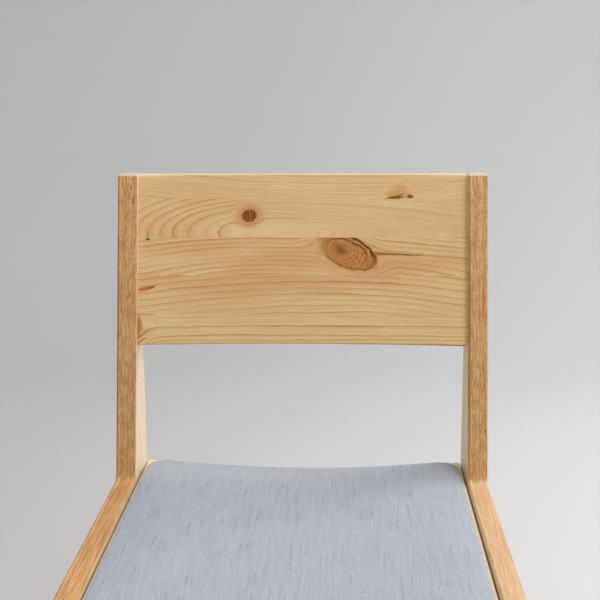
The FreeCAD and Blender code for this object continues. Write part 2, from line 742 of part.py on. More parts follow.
def make_pad_base():
    body, feature = dished_slab("pad_base_blank", (f"-{PAD_HALF}", PAD_HALF), PAD_REAR, PAD_LENGTH,
                                f"-{BASE_TOP}", "-Dims.pad_lift")
    round_plan_corners(body, feature, "Dims.pad_corner_radius", "pad_base_corners")
    bores = [tee_nut_bore(f"pad_base_bore_{index}", x, y)
             for index, (x, y) in enumerate(bolt_places(), start=1)]
    bores += [bolt(f"pad_base_bolt_bore_{index}", x, y, BOLT_ROOM)
              for index, (x, y) in enumerate(bolt_places(), start=1)]
    return drilled("pad_base_board", body, bores)


def make_pad_foam():
    body, feature = dished_slab("pad_foam_body", (f"-{PAD_HALF}", PAD_HALF), PAD_REAR, PAD_LENGTH,
                                f"-{FOAM_TOP}", f"-{BASE_TOP}")
    feature = round_plan_corners(body, feature, "Dims.pad_corner_radius", "pad_foam_corners")
    round_top_rim(body, feature, f"-{FOAM_TOP}", "Dims.foam_edge_radius", "pad_foam_rim")
    return keep(body, "pad_foam")


def make_pad_cover(base, foam):
    """The cloth round the foam and the base board, turned under and open in the middle below."""
    skin = "Dims.cover_thickness"
    half = f"({PAD_HALF} + {skin})"
    body, feature = dished_slab("pad_cover_blank", (f"-{half}", half), f"({PAD_REAR} + {skin})",
                                f"{PAD_LENGTH} + 2 * {skin}", f"-({FOAM_TOP} + {skin})",
                                f"-(Dims.pad_lift - {skin})")
    feature = round_plan_corners(body, feature, f"Dims.pad_corner_radius + {skin}",
                                 "pad_cover_corners")
    round_top_rim(body, feature, f"-({FOAM_TOP} + {skin})", f"Dims.foam_edge_radius + {skin}",
                  "pad_cover_rim")
    window = doc.addObject("Part::Box", "pad_cover_window")
    opening_half = f"({PAD_HALF} - Dims.cover_turn_under)"
    window.setExpression("Length", f"2 * {opening_half}")
    window.setExpression("Width", f"{PAD_LENGTH} - 2 * Dims.cover_turn_under")
    window.setExpression("Height", f"{seat_surface(opening_half, '-' + BASE_TOP)}"
                                   f" - {seat_surface('0')}")
    position(window, (f"-{opening_half}", f"{PAD_REAR} - {PAD_LENGTH} + Dims.cover_turn_under",
                      seat_surface("0")))
    base_blank = base.Base
    drilled("pad_cover", body, [foam, base_blank, window])


def staple_solid(at, heading):
    """One staple under the pad: its crown lies on the cloth and its legs point up into the board."""
    crown, wire = number("Dims.staple_crown"), number("Dims.staple_wire")
    leg = number("Dims.staple_leg") + wire
    pieces = [Part.makeBox(crown, wire, wire, FreeCAD.Vector(-crown / 2, -wire / 2, -wire))]
    for x in (-crown / 2, crown / 2 - wire):
        pieces.append(Part.makeBox(wire, wire, leg, FreeCAD.Vector(x, -wire / 2, -wire)))
    solid = pieces[0].fuse(pieces[1:]).removeSplitter()
    solid.Placement = FreeCAD.Placement(at, heading)
    return solid


def make_staples():
    """Staples all round the turned-under cloth, each square to the hollow of the seat."""
    under_cloth = number("Dims.pad_lift - Dims.cover_thickness")
    radius, axis_height = number(SEAT_RADIUS) - under_cloth, number(SEAT_AXIS)
    line = number("Dims.cover_turn_under") / 2
    half = number(PAD_HALF) - line
    rear, front = number(PAD_REAR) - line, number(f"{PAD_REAR} - {PAD_LENGTH}") + line
    pitch, corner = number("Dims.staple_pitch"), number("Dims.pad_corner_radius")
    along_sides = int((rear - front - 2 * corner) // pitch)
    across = int(2 * (half - corner) // pitch)
    middle = (rear + front) / 2
    places = [(x, middle + (step - along_sides / 2) * pitch, 90)
              for x in (-half, half) for step in range(along_sides + 1)]
    places += [((step - across / 2) * pitch, y, 0)
               for y in (front, rear) for step in range(across + 1)]
    solids = []
    for x, y, quarter_turn in places:
        slope = math.asin(x / radius)
        at = FreeCAD.Vector(x, y, axis_height - radius * math.cos(slope))
        tilt = FreeCAD.Rotation(FreeCAD.Vector(0, 1, 0), -math.degrees(slope))
        turn = FreeCAD.Rotation(FreeCAD.Vector(0, 0, 1), quarter_turn)
        solids.append(staple_solid(at, tilt.multiply(turn)))
    staples = doc.addObject("Part::Feature", "pad_staples")
    staples.Shape = Part.makeCompound(solids)
    keep(staples, "pad_staples")


def make_pad_fasteners():
    nuts, bolts = [], []
    for index, (x, y) in enumerate(bolt_places(), start=1):
        thread = doc.addObject("Part::Cut", f"tee_nut_{index}")
        thread.Base = tee_nut(f"tee_nut_{index}", x, y)
        thread.Tool = bolt(f"tee_nut_{index}_thread", x, y, ROOM)
        nuts.append(thread)
        bolts.append(bolt(f"pad_bolt_{index}", x, y))
    group("pad_tee_nuts", nuts)
    group("pad_bolts", bolts)


# ---------------------------------------------------------------- dowels, screws and glides

def make_dowels():
    families = {
        "backrest_dowels": backrest_dowel_places,
        "rear_rail_dowels": lambda side: rail_dowel_places(side, REAR_RAIL_MIDDLE),
        "front_rail_dowels": lambda side: rail_dowel_places(side, FRONT_RAIL_MIDDLE),
    }
    for family, places in families.items():
        for side in SIDES:
            name = f"{family}_{side}"
            group(name, [dowel(f"{name}_{index}", at, inward(side))
                         for index, at in enumerate(places(side), start=1)])


def make_screws():
    for side, (_, outward) in SIDES.items():
        name = f"cleat_screws_{side}"
        group(name, [screw(f"{name}_{index}", at, outward, "Dims.cleat_screw_length")
                     for index, at in enumerate(cleat_screw_places(side), start=1)])
    group("seat_board_screws", [screw(f"seat_screw_{index}", at, "-Z", "Dims.seat_screw_length")
                                for index, at in enumerate(all_seat_screws(), start=1)])


def make_glides():
    nails = []
    for place, x, y in glide_places():
        name = f"floor_glide_{place}"
        disc = cylinder(name + "_disc", "Dims.glide_diameter", "Dims.glide_height", (x, y, "0"))
        doc.recompute()
        rim = [index for index, edge in enumerate(disc.Shape.Edges, start=1)
               if isinstance(edge.Curve, Part.Circle) and edge.CenterOfMass.z < SAME_PLACE]
        rounded = doc.addObject("Part::Fillet", name + "_rounded")
        rounded.Base = disc
        radius = number("Dims.glide_edge_radius")
        rounded.Edges = [(index, radius, radius) for index in rim]
        drilled(name, rounded, [nail(name + "_nail_bore", x, y, ROOM)])
        nails.append(nail(f"glide_nail_{place}", x, y))
    group("glide_nails", nails)


# ---------------------------------------------------------------- build, check and write

def build():
    for side in SIDES:
        make_side_panel(side)
    for number_from_top in range(1, len(STAVE_TOPS) + 1):
        make_stave(number_from_top)
    make_cross_rail("front_cross_rail", FRONT_RAIL_BACK, FRONT_RAIL_MIDDLE)
    make_cross_rail("rear_cross_rail", REAR_RAIL_BACK, REAR_RAIL_MIDDLE)
    for side in SIDES:
        make_cleat(side)
    make_seat_board()
    base, foam = make_pad_base(), make_pad_foam()
    make_pad_cover(base, foam)
    make_staples()
    make_pad_fasteners()
    make_dowels()
    make_screws()
    make_glides()
    doc.recompute()


def check():
    """Stop before anything is written if an object failed or a sub-part isn't a sound solid."""
    failed = [item.Name for item in doc.Objects if {"Invalid", "Error"} & set(item.State)]
    if failed:
        raise RuntimeError(f"objects that failed to compute: {failed}")
    for part in sub_parts:
        shape = part.Shape
        if shape.isNull() or not shape.isValid() or not shape.Solids:
            raise RuntimeError(f"{part.Label} isn't a valid solid")


def export():
    os.makedirs("parts", exist_ok=True)
    for part in sub_parts:
        part.Shape.exportStep(f"parts/{part.Label}.step")


build()
check()
export()
print(len(sub_parts), "sub-parts written")
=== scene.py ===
"""The looks of the dining chair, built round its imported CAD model.

The CAD nodes keep their shapes and get their materials here. The seat pad is a piece of its own,
which a short cloth simulation swells a little. Lengths are metres in the row frame, with +Z up; the
sitter looks towards -Y.
"""
import math

import bmesh
import bpy
import numpy as np
from mathutils import Matrix, Vector


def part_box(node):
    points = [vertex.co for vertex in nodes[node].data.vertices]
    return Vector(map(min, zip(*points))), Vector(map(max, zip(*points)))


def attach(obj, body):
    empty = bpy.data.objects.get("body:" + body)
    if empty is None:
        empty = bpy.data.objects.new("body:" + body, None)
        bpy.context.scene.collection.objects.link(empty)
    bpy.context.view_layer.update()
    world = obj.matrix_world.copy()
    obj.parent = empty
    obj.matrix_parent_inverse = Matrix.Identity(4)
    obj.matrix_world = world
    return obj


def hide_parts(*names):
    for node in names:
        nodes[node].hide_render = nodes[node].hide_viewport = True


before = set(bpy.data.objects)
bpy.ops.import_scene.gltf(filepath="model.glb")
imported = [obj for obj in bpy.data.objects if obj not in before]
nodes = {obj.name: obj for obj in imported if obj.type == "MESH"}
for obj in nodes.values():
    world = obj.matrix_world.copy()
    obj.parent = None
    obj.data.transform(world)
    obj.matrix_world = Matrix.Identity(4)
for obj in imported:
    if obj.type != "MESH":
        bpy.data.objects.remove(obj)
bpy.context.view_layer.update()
MM = 0.001


# ---------------------------------------------------------------- shader arithmetic

def tone(red, green, blue):
    """A linear colour from screen values between 0 and 255."""
    def linear(value):
        value /= 255
        return value / 12.92 if value <= 0.04045 else ((value + 0.055) / 1.055) ** 2.4
    return (linear(red), linear(green), linear(blue), 1.0)


class Term:
    """A number, colour or vector inside a shader, which plain arithmetic works on."""

    def __init__(self, shader, socket):
        self.shader, self.socket = shader, socket

    def __add__(self, other):
        return self.shader.math("ADD", self, other)

    def __radd__(self, other):
        return self.shader.math("ADD", other, self)

    def __sub__(self, other):
        return self.shader.math("SUBTRACT", self, other)

    def __rsub__(self, other):
        return self.shader.math("SUBTRACT", other, self)

    def __mul__(self, other):
        return self.shader.math("MULTIPLY", self, other)

    def __rmul__(self, other):
        return self.shader.math("MULTIPLY", other, self)

    def __truediv__(self, other):
        return self.shader.math("DIVIDE", self, other)


class Shader:
    """A material and short calls that each add one node to it and give back the node's output."""

    def __init__(self, name, roughness, specular=0.5):
        self.material = bpy.data.materials.new(name)
        self.material.use_nodes = True
        self.tree = self.material.node_tree
        self.surface = self.tree.nodes["Principled BSDF"]
        self.surface.inputs["Roughness"].default_value = roughness
        self.surface.inputs["Specular IOR Level"].default_value = specular
        coordinates = self.tree.nodes.new("ShaderNodeTexCoord")
        self.place = Term(self, coordinates.outputs["Object"])

    def plug(self, socket, value):
        """Link a term to a socket, or set the socket to a plain value."""
        if isinstance(value, Term):
            self.tree.links.new(value.socket, socket)
        else:
            socket.default_value = value

    def math(self, operation, *values):
        """One of Blender's Math operations."""
        node = self.tree.nodes.new("ShaderNodeMath")
        node.operation = operation
        for socket, value in zip(node.inputs, values):
            self.plug(socket, value)
        return Term(self, node.outputs[0])

    def split(self, vector):
        """The X, Y and Z of a vector."""
        node = self.tree.nodes.new("ShaderNodeSeparateXYZ")
        self.plug(node.inputs[0], vector)
        return [Term(self, output) for output in node.outputs]

    def vector(self, *parts):
        """A vector from its X, Y and Z."""
        node = self.tree.nodes.new("ShaderNodeCombineXYZ")
        for socket, part in zip(node.inputs, parts):
            self.plug(socket, part)
        return Term(self, node.outputs[0])

    def along(self, vector, direction):
        """How far a place is along a direction."""
        node = self.tree.nodes.new("ShaderNodeVectorMath")
        node.operation = "DOT_PRODUCT"
        self.plug(node.inputs[0], vector)
        node.inputs[1].default_value = direction
        return Term(self, node.outputs["Value"])

    def noise(self, vector, detail=2.0, roughness=0.5, scale=1.0):
        """Smooth noise, from about 0.25 to 0.75."""
        node = self.tree.nodes.new("ShaderNodeTexNoise")
        self.plug(node.inputs["Vector"], vector)
        node.inputs["Scale"].default_value = scale
        node.inputs["Detail"].default_value = detail
        node.inputs["Roughness"].default_value = roughness
        return Term(self, node.outputs[0])

    def chance(self, value):
        """A number from 0 to 1 that is the same wherever the value is the same."""
        node = self.tree.nodes.new("ShaderNodeTexWhiteNoise")
        node.noise_dimensions = "1D"
        self.plug(node.inputs["W"], value)
        return Term(self, node.outputs["Value"])

    def step(self, value, low, high):
        """0 below low and 1 above high, smooth between; low may be the larger."""
        node = self.tree.nodes.new("ShaderNodeMapRange")
        node.interpolation_type = "SMOOTHSTEP"
        start, end = (0.0, 1.0) if low < high else (1.0, 0.0)
        for socket, number in zip(node.inputs, (value, min(low, high), max(low, high), start, end)):
            self.plug(socket, number)
        return Term(self, node.outputs[0])

    def mix(self, share, first, second):
        """A colour between two others."""
        node = self.tree.nodes.new("ShaderNodeMix")
        node.data_type = "RGBA"
        node.clamp_factor = True
        for socket, value in zip((node.inputs[0], node.inputs[6], node.inputs[7]),
                                 (share, first, second)):
            self.plug(socket, value)
        return Term(self, node.outputs[2])

    def finish(self, colour, height=None, depth=0.0002, strength=1.0):
        """Plug in the colour and, where there is one, a relief of a given depth."""
        self.plug(self.surface.inputs["Base Color"], colour)
        if height is not None:
            node = self.tree.nodes.new("ShaderNodeBump")
            node.inputs["Strength"].default_value = strength
            node.inputs["Distance"].default_value = depth
            self.plug(node.inputs["Height"], height)
            self.tree.links.new(node.outputs[0], self.surface.inputs["Normal"])
        return self.material


def paint(material, *names):
    """Give CAD nodes a material."""
    for name in names:
        slots = nodes[name].data.materials
        slots.clear()
        slots.append(material)


def add_object(name, data):
    """A new object in the scene, at the origin."""
    made = bpy.data.objects.new(name, data)
    bpy.context.scene.collection.objects.link(made)
    return made


# ---------------------------------------------------------------- pine staves of the backrest

STAVES = [f"backrest_stave_{number}" for number in range(1, 6)]


def board_axes():
    """The backrest's upward and rearward directions, from the flat back of its middle stave."""
    back = max(nodes[STAVES[2]].data.polygons, key=lambda face: face.area)
    rearward = back.normal.copy()
    return Vector((1, 0, 0)).cross(rearward), rearward


BOARD_UP, BOARD_BACK = board_axes()


def reach(name, direction):
    """The lowest and highest reach of a node along a direction."""
    lengths = [vertex.co.dot(direction) for vertex in nodes[name].data.vertices]
    return min(lengths), max(lengths)


BOARD_FOOT = reach(STAVES[4], BOARD_UP)[0]
BOARD_REAR = reach(STAVES[2], BOARD_BACK)[1]

EARLY_WOOD = tone(232, 203, 151)
EARLY_WOOD_ROSY = tone(221, 172, 122)
LATE_WOOD = tone(190, 136, 70)
# The colour of the painted sheen on the level tops.
TOP_SHEEN_TONE = tone(226, 216, 204)
TOP_FACE = 799.6 * MM
# Above this height there are only the level top faces of the board and the posts, which get painted
# sheen.
"""Above this height there are only the level top faces of the board and the posts."""


class Ellipse:
    """A tilted ellipse on the board's face, in millimetres across and up the board."""

    def __init__(self, across, up, half_length, half_height, tilt=0.0):
        self.across, self.up = across * MM, up * MM
        self.half_length, self.half_height = half_length * MM, half_height * MM
        self.tilt = math.radians(tilt)

    def distance(self, shader, across, up):
        """0 at the middle and 1 on the ellipse."""
        sideways, upward = across - self.across, up - self.up
        cosine, sine = math.cos(self.tilt), math.sin(self.tilt)
        long_part = (sideways * cosine + upward * sine) / self.half_length
        short_part = (upward * cosine - sideways * sine) / self.half_height
        return shader.math("SQRT", long_part * long_part + short_part * short_part)


RING_DEPTH_SHARE = 0.25
"""How much less depth counts in the rings than height, so that both faces show nearly the same ones."""


class Rings:
    """The growth rings of one stave: ellipses round a pith, in millimetres.

    They are one spacing apart upwards, and left or right times as far to the sides. The pith is
    some way ahead of the board's flat back. Calm rings bend less on their way, and faint ones fade
    on the right of their pith.
    """

    def __init__(self, across, up, spacing, left, right, ahead=30, calm=1.0, faint=0.0):
        self.across, self.up, self.ahead = across * MM, up * MM, ahead * MM
        self.spacing, self.left, self.right = spacing * MM, left, right
        self.calm, self.faint = calm, faint

    def radius(self, shader, across, up, depth):
        """Rings from the pith; depth is 0 on the board's flat back, and less in front of it."""
        sideways = across - self.across
        on_right = shader.step(sideways, -10 * MM, 10 * MM)
        stretch = self.left + on_right * (self.right - self.left)
        sideways = sideways / stretch
        upward = up - self.up
        inward = (depth + self.ahead) * RING_DEPTH_SHARE
        squares = sideways * sideways + upward * upward + inward * inward
        return shader.math("SQRT", squares) / self.spacing

    def radius_at(self, across, up):
        """The same at one point of the flat back, as a plain number."""
        sideways = across - self.across
        sideways /= self.right if sideways > 0 else self.left
        return math.hypot(sideways, up - self.up, self.ahead * RING_DEPTH_SHARE) / self.spacing


BIG_KNOT = Ellipse(55, 114.5, 36, 18.5, -24)
BIG_KNOT_HEART = Ellipse(47, 118, 13, 8, -24)
KNOT_BARK_LINE = BIG_KNOT.across * 0.55 + BIG_KNOT.up + 4 * MM
"""Where the big knot's bark starts, as across times 0.55 plus up."""
TIGHT_KNOT = Ellipse(-65, 159.5, 9.2, 7.8, 12)
CORNER_KNOT = Ellipse(-211, 23, 15, 18, 0)
HALF_KNOT = Ellipse(118, 182, 17, 17, 0)


def painted_top_sheen(shader, up, wood):
    """Painted sheen: the level tops are made paler than the faces, standing in for light glancing off
    them.
    """
    return shader.mix(shader.step(up, TOP_FACE, TOP_FACE + MM) * 0.55, wood, TOP_SHEEN_TONE)


def wood_rings(shader, radius, contrast):
    """How dark the late wood is: each ring darkens slowly outwards and ends sharply."""
    phase = shader.math("FRACT", radius)
    ring = shader.math("FLOOR", radius)
    soft = shader.step(phase, 0.2, 0.86) * shader.step(phase, 1.0, 0.86)
    crisp = shader.step(phase, 0.68, 0.86) * shader.step(phase, 0.97, 0.88)
    strength = 0.2 + shader.chance(ring) * 0.8
    return (soft * 0.45 + crisp * 0.55) * strength * contrast


def ringed_knot(shader, distance, across, up, wood):
    """A large knot with rings of its own, and torn bark behind a pale gap at its upper right."""
    wobble = shader.noise(shader.vector(across * 90, up * 90, 0.0), detail=2)
    shreds = shader.noise(shader.vector(across * 260, up * 260, 4.0), detail=2)
    rough = distance + (wobble - 0.5) * 0.34
    heart = (BIG_KNOT_HEART.distance(shader, across, up) + (wobble - 0.5) * 1.0
             + (shreds - 0.5) * 0.08)
    rings = shader.math("SINE", heart * 15.0) * 0.5 + 0.5
    flesh = shader.mix(rings * 0.5 + (shreds - 0.5) * 1.2, tone(196, 134, 76), tone(142, 84, 34))
    flesh = shader.mix(shader.step(heart, 1.2, 0.0) * 0.85, flesh, tone(116, 50, 12))
    inside = shader.step(rough, 1.15, 0.85)
    halo = shader.step(rough, 1.9, 1.0) * 0.4
    knot = shader.mix(inside * 0.92, shader.mix(halo, wood, tone(216, 160, 104)), flesh)
    barked = shader.step(across * 0.55 + up, KNOT_BARK_LINE - 10 * MM, KNOT_BARK_LINE + 12 * MM)
    rim = shader.step(rough, 0.84, 0.93) * shader.step(rough, 1.04, 0.96)
    rim = rim * shader.step(up - BIG_KNOT.up, 2 * MM, -14 * MM)
    knot = shader.mix(rim * (1 - barked) * 0.75, knot, tone(140, 86, 30))
    torn = rough + (shreds - 0.5) * 0.12
    gap = shader.step(torn, 0.78, 0.86) * shader.step(torn, 0.98, 0.9) * barked
    knot = shader.mix(gap * 0.6, knot, tone(206, 152, 90))
    inner_bark = shader.step(torn, 0.64, 0.75) * shader.step(torn, 0.86, 0.78) * barked
    outer_bark = shader.step(torn, 0.90, 0.98) * shader.step(torn, 1.16, 1.05) * barked
    bark = (inner_bark * 0.8 + outer_bark) * (0.7 + shreds * 0.5)
    return shader.mix(bark, knot, tone(104, 54, 0)), inside


def tight_knot(shader, distance, across, up, wood):
    """A small dark knot with a rosy halo and a drying crack."""
    wobble = shader.noise(shader.vector(across * 500, up * 500, 0.0), detail=2)
    rough = distance + (wobble - 0.5) * 0.35
    halo = shader.step(rough, 2.5, 1.0) * 0.8
    flesh = shader.mix(shader.step(wobble, 0.35, 0.65), tone(108, 46, 0), tone(164, 92, 32))
    off_crack = across - TIGHT_KNOT.across + (up - TIGHT_KNOT.up) * 0.12 - 1.2 * MM
    crack = shader.step(shader.math("ABSOLUTE", off_crack), 0.9 * MM, 0.3 * MM)
    flesh = shader.mix(crack * 0.55, flesh, tone(190, 140, 92))
    inside = shader.step(rough, 1.08, 0.9)
    return shader.mix(inside, shader.mix(halo, wood, tone(200, 138, 90)), flesh), inside


def corner_knot(shader, distance, across, up, wood):
    """The amber edge of a knot that lies mostly beyond the stave's end."""
    wobble = shader.noise(shader.vector(across * 200, up * 200, 7.0), detail=2)
    rough = distance + (wobble - 0.5) * 0.3
    amber = shader.mix(wobble, tone(192, 128, 58), tone(158, 96, 34))
    inside = shader.step(rough, 1.25, 0.85)
    return shader.mix(inside * 0.95, wood, amber), inside


STAVE_RINGS = [
    Rings(across=60, up=290, spacing=4.6, left=5.0, right=7.0),
    Rings(across=-44, up=138, spacing=5.3, left=3.1, right=7.5, ahead=6, calm=2.5, faint=0.7),
    Rings(across=-20, up=44, spacing=5.6, left=4.2, right=4.8),
    Rings(across=30, up=-36, spacing=7.2, left=4.2, right=3.4),
    Rings(across=60, up=-90, spacing=5.8, left=9.0, right=12.0),
]
"""One set of rings for each stave, from the top one down, as in the lists below."""
STAVE_KNOTS = [
    [],
    [(TIGHT_KNOT, tight_knot, 2.9)],
    [(BIG_KNOT, ringed_knot, 2.0)],
    [],
    [(CORNER_KNOT, corner_knot, 2.6)],
]
"""Each knot's place, what draws it, and how many times its size the rings bend round it."""
STAVE_STAINS = [
    [
        (HALF_KNOT, tone(210, 150, 82), 0.7),
        (Ellipse(113, 181.6, 11, 2.2, 4), tone(112, 60, 6), 0.85),
        (Ellipse(119, 184.5, 7, 1.5, 20), tone(150, 96, 36), 0.7),
        (Ellipse(132, 182.6, 4.2, 2.6, 0), tone(98, 50, 4), 0.8),
    ],
    [],
    [
        (Ellipse(108, 112.5, 40, 1.5, -3), tone(128, 80, 20), 0.8),
        (Ellipse(94, 113, 13, 2.8, -3), tone(116, 68, 12), 0.7),
        (Ellipse(-189, 130, 2.4, 1.6, 0), tone(92, 52, 10), 0.9),
    ],
    [
        (Ellipse(-191, 69.5, 13, 3.0, 12), tone(186, 104, 26), 0.85),
        (Ellipse(-183, 71.5, 6, 1.3, 24), tone(150, 88, 26), 0.8),
        (Ellipse(-178, 68, 12, 2.5, 16), tone(222, 188, 118), 0.6),
    ],
    [
        (Ellipse(-198, 4, 12, 1.1, 32), tone(140, 84, 28), 0.7),
        (Ellipse(-200, 9, 9, 0.9, 36), tone(150, 92, 34), 0.6),
        (Ellipse(-191, 37.5, 13, 1.0, 0), tone(176, 120, 52), 0.7),
    ],
]
"""Each stain's place, colour and strength."""
STAVE_ROSINESS = [0.45, 0.55, 0.85, 0.85, 0.3]
STAVE_CONTRAST = [0.6, 0.95, 1.0, 1.0, 1.05]
PITH_RINGS = (2.7, 3.4)
"""The first rings round a pith are too pale to see; they darken between these two."""


def ring_radius(shader, number, across, up, depth, tremble):
    """A stave's wavy rings, counted from the pith and bent round its knots."""
    rings = STAVE_RINGS[number]
    sway = shader.noise(shader.vector(across * 9, up * (40 / rings.calm),
                                      depth * 40 + number * 7.0), detail=2)
    radius = (rings.radius(shader, across, up, depth) + (sway - 0.5) * (1.1 / rings.calm)
              + (tremble - 0.5) * 0.22)
    for knot, _, flow in STAVE_KNOTS[number]:
        still = rings.radius_at(knot.across, knot.up)
        hold = shader.step(knot.distance(shader, across, up), flow, 0.7) * 0.93
        radius = radius + (still - radius) * hold
    return radius


def pine_stave(number):
    """Flat-sawn pine for one stave, with its own rings, knots and stains."""
    shader = Shader(f"pine_stave_{number + 1}", roughness=0.42, specular=0.12)
    across, _, height = shader.split(shader.place)
    up = shader.along(shader.place, BOARD_UP) - BOARD_FOOT
    depth = shader.along(shader.place, BOARD_BACK) - BOARD_REAR
    tremble = shader.noise(shader.vector(across * 60, up * 160, depth * 160), detail=2)
    radius = ring_radius(shader, number, across, up, depth, tremble)
    breadth = shader.noise(shader.vector(radius * 0.35, number * 3.0, 0.0), detail=1)
    dark = wood_rings(shader, radius + (breadth - 0.5) * 1.2, STAVE_CONTRAST[number])
    fading = shader.noise(shader.vector(across * 11, up * 50, number * 5.0), detail=1)
    dark = dark * (0.5 + shader.step(fading, 0.3, 0.62) * 0.6)
    rings = STAVE_RINGS[number]
    dark = dark * (1 - shader.step(across - rings.across, 5 * MM, 60 * MM) * rings.faint)
    dark = dark * shader.step(radius, *PITH_RINGS)
    secondary = shader.noise(shader.vector(radius * 2.7, across * 5, number * 2.0), detail=2)
    patches = shader.noise(shader.vector(across * 5, up * 22, depth * 22 + number), detail=2)
    fibres = shader.noise(shader.vector(across * 30, up * 1300, depth * 1300), detail=3)
    pores = shader.noise(shader.vector(across * 140, up * 2200, depth * 2200), detail=1)
    rosy = shader.step(patches, 0.3, 0.7) * STAVE_ROSINESS[number] + 0.15
    wood = shader.mix(rosy, EARLY_WOOD, EARLY_WOOD_ROSY)
    wood = shader.mix(shader.step(secondary, 0.46, 0.72) * 0.3, wood, tone(200, 148, 86))
    wood = shader.mix(dark, wood, LATE_WOOD)
    wood = shader.mix(shader.step(fibres, 0.42, 0.8) * 0.22, wood, tone(170, 122, 76))
    wood = shader.mix(shader.step(pores, 0.66, 0.74) * 0.35, wood, tone(160, 112, 66))
    relief = fibres * 0.6 - dark * 0.15
    for stain, colour, strength in STAVE_STAINS[number]:
        soft = stain.distance(shader, across, up) + (tremble - 0.5) * 0.9
        wood = shader.mix(shader.step(soft, 1.15, 0.55) * strength, wood, colour)
    for knot, draw, _ in STAVE_KNOTS[number]:
        wood, inside = draw(shader, knot.distance(shader, across, up), across, up, wood)
        relief = relief - inside * 0.4
    # Painted sheen on the stave's level top.
    wood = painted_top_sheen(shader, height, wood)
    return shader.finish(wood, relief, depth=0.00006, strength=0.4)


# ---------------------------------------------------------------- plywood and plain wood

PANEL_PLIES = 13
PANEL_CORE = (tone(232, 190, 134), tone(204, 158, 102), tone(168, 116, 64))
"""A core veneer cut along its grain and across it, and the dark streaks in both."""
PANEL_FACE = (tone(244, 222, 186), tone(230, 200, 156))
SEAT_CORE = (tone(226, 190, 140), tone(200, 160, 112), tone(160, 116, 70))
SEAT_FACE = (tone(242, 222, 188), tone(228, 200, 158))
# The colour of the painted sheen on a rail, standing in for light from the right.
RAIL_SHEEN_TONE = tone(240, 216, 184)
RAIL_FOOT, RAIL_TOP, RAIL_BLEND = 356 * MM, 442 * MM, 4 * MM
# The side rails' heights, and how gradually their grain and their painted sheen start.
"""The side rails' heights, and how gradually their grain and colour start."""
# Half the width of each band in a panel's front edge, marks and painted shade alike.
BAND_HALF_WIDTH = 0.8 * MM


def count_plies(depth, thickness, plies, margin):
    """Plies counted from one face of a sheet; a margin keeps both faces off the very ends."""
    return depth / thickness * (plies - 2 * margin) + margin


def ply_layers(shader, through, first_grain, second_grain, plies, core_colours, face_colours,
               turned=None, face_depth=0.11):
    """Colour and relief of crossed veneers; through counts plies from one face.

    The cut edge's streaks run along the first grain, or along the second where turned is given and
    is 1. The face's own colour reaches face_depth plies in.
    """
    waver = shader.noise(shader.vector(first_grain * 30, second_grain * 30, through * 0.3), detail=1)
    layer = through + (waver - 0.5) * 0.5
    index = shader.math("FLOOR", layer)
    within = shader.math("FRACT", layer)
    crossed = shader.step(shader.math("MODULO", index + 0.5, 2.0), 0.9, 1.1)
    with_first = shader.noise(shader.vector(through * 0.9, first_grain * 17, second_grain * 330),
                              detail=2, roughness=0.55)
    with_second = shader.noise(shader.vector(through * 1.3 + 40, first_grain * 330,
                                             second_grain * 55), detail=2, roughness=0.55)
    streaks = with_first * 0.75 + with_second * 0.25 + (with_second - with_first) * crossed * 0.4
    dashes = shader.noise(shader.vector(through * 1.3, first_grain * 34, second_grain * 120),
                          detail=1)
    edge_streaks = streaks
    if turned is not None:
        turned_streaks = shader.noise(shader.vector(through * 1.2, second_grain * 17,
                                                    first_grain * 330), detail=2, roughness=0.55)
        turned_dashes = shader.noise(shader.vector(through * 1.3, second_grain * 34,
                                                   first_grain * 120), detail=1)
        edge_streaks = streaks + (turned_streaks - streaks) * turned
        dashes = dashes + (turned_dashes - dashes) * turned
    tint = shader.noise(shader.vector(through * 0.35, first_grain * 7, second_grain * 9), detail=1)
    shade = shader.chance(index + 3.0)
    lengthwise, endwise, dark = core_colours
    core = shader.mix(crossed * 0.35 + shade * 0.65, lengthwise, endwise)
    core = shader.mix(shader.step(tint, 0.38, 0.62) * 0.5, core, tone(200, 144, 84))
    core = shader.mix(shader.step(edge_streaks, 0.43, 0.63) * 0.72, core, dark)
    core = shader.mix(shader.step(dashes, 0.54, 0.66) * 0.5, core, tone(170, 106, 48))
    glue = shader.step(shader.math("ABSOLUTE", within - 0.5), 0.42, 0.49)
    core = shader.mix(glue * shader.step(dashes, 0.3, 0.6) * 0.32, core, tone(138, 92, 50))
    figure = shader.noise(shader.vector(first_grain * 2.2, second_grain * 16, 0.0), detail=2)
    bands = shader.math("SINE", figure * 55) * 0.5 + 0.5
    pale, deep = face_colours
    face = shader.mix(bands * 0.35 + shader.step(streaks, 0.42, 0.7) * 0.35, pale, deep)
    outer = shader.step(shader.math("ABSOLUTE", through - plies / 2),
                        plies / 2 - face_depth - 0.03, plies / 2 - face_depth + 0.03)
    return shader.mix(outer, core, face), streaks - glue * (1 - outer) * 0.3


